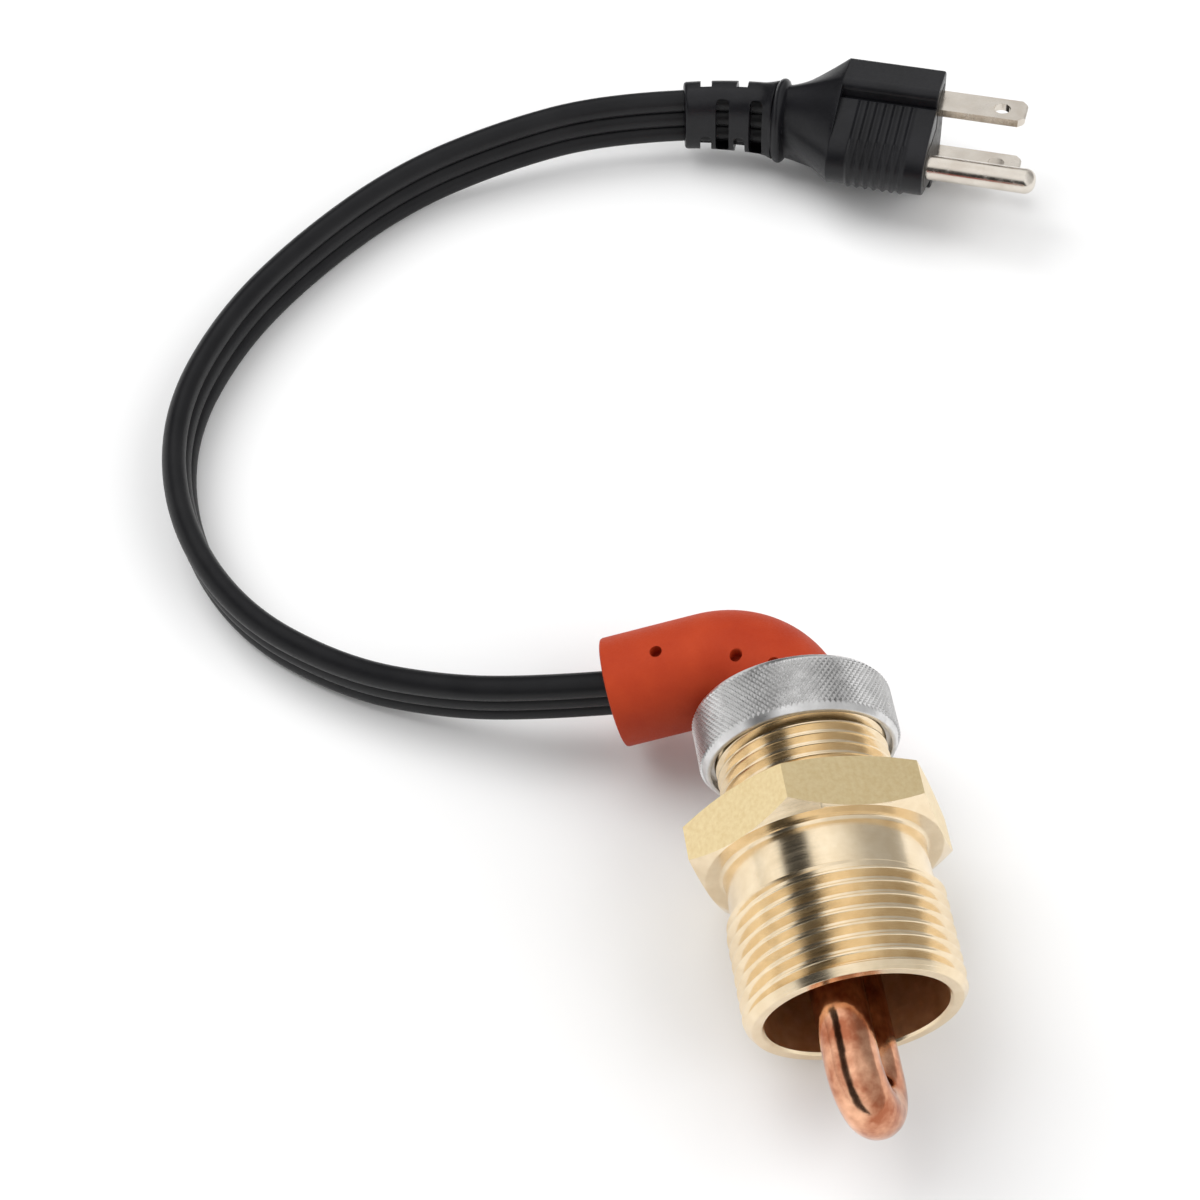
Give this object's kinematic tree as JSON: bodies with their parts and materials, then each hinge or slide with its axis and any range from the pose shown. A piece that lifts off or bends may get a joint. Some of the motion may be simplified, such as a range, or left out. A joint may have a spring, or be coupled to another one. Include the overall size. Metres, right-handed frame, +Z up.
{
  "type": "engine block heater",
  "caption": "Screw-in immersion heater with a hairpin element, a knurled coupling ring, an elbow boot, a flat cord and a moulded three-pin plug.",
  "frame": {"origin": "on the heater's axis, at the last crest of the block thread", "axes": "-Y along the heater's axis out of its mouth, +Z up with the heater lying on one corner of its hexagon, +X to the right of the picture's view"},
  "size_m": [0.1687, 0.2187, 0.0398],
  "materials": {
    "body_brass": "turned brass, satin",
    "copper": "drawn copper tube, slightly tarnished",
    "braze": "silver braze",
    "magnesia": "packed powder, matte",
    "coil_wire": "resistance wire",
    "pin_metal": "plated brass",
    "seal": "silicone",
    "insulator": "moulded phenolic",
    "insert": "moulded phenolic",
    "boot_rubber": "matte orange-red silicone",
    "lead_rubber": "insulated lead",
    "knurled_metal": "knurled, bright",
    "cord_rubber": "black, semi-matte",
    "plug_rubber": "black moulded vinyl",
    "bridge": "moulded plastic",
    "blade_metal": "nickel-plated strip",
    "prong_metal": "nickel-plated, bright"
  },
  "bodies": {
    "heater": {"brass_body": "body_brass", "element_sheath": "copper", "magnesia_fill": "magnesia", "resistance_coil": "coil_wire", "terminal_pin_line": "pin_metal", "terminal_pin_neutral": "pin_metal", "ground_pin": "pin_metal", "braze_fillets": "braze", "element_seals": "seal", "terminal_insulator": "insulator"},
    "connector": {"socket_insert": "insert", "contact_line": "pin_metal", "contact_neutral": "pin_metal", "contact_ground": "pin_metal", "lead_line": "lead_rubber", "lead_neutral": "lead_rubber", "lead_ground": "lead_rubber", "elbow_boot": "boot_rubber", "power_cord": "cord_rubber", "blade_line": "blade_metal", "blade_neutral": "blade_metal", "ground_prong": "prong_metal", "plug_lead_line": "lead_rubber", "plug_lead_neutral": "lead_rubber", "plug_lead_ground": "lead_rubber", "plug_bridge": "bridge", "plug_cover": "plug_rubber"},
    "ring": {"coupling_ring": "knurled_metal"}
  },
  "joints": [
    {"name": "connector_pull", "type": "slide", "parent": "heater", "child": "connector", "axis": [0, 1, 0], "range_m": [0, 0.028]},
    {"name": "ring_turn", "type": "hinge", "parent": "connector", "child": "ring", "pos_m": [0, 0.031, 0], "axis": [0, 1, 0], "continuous": true}
  ]
}
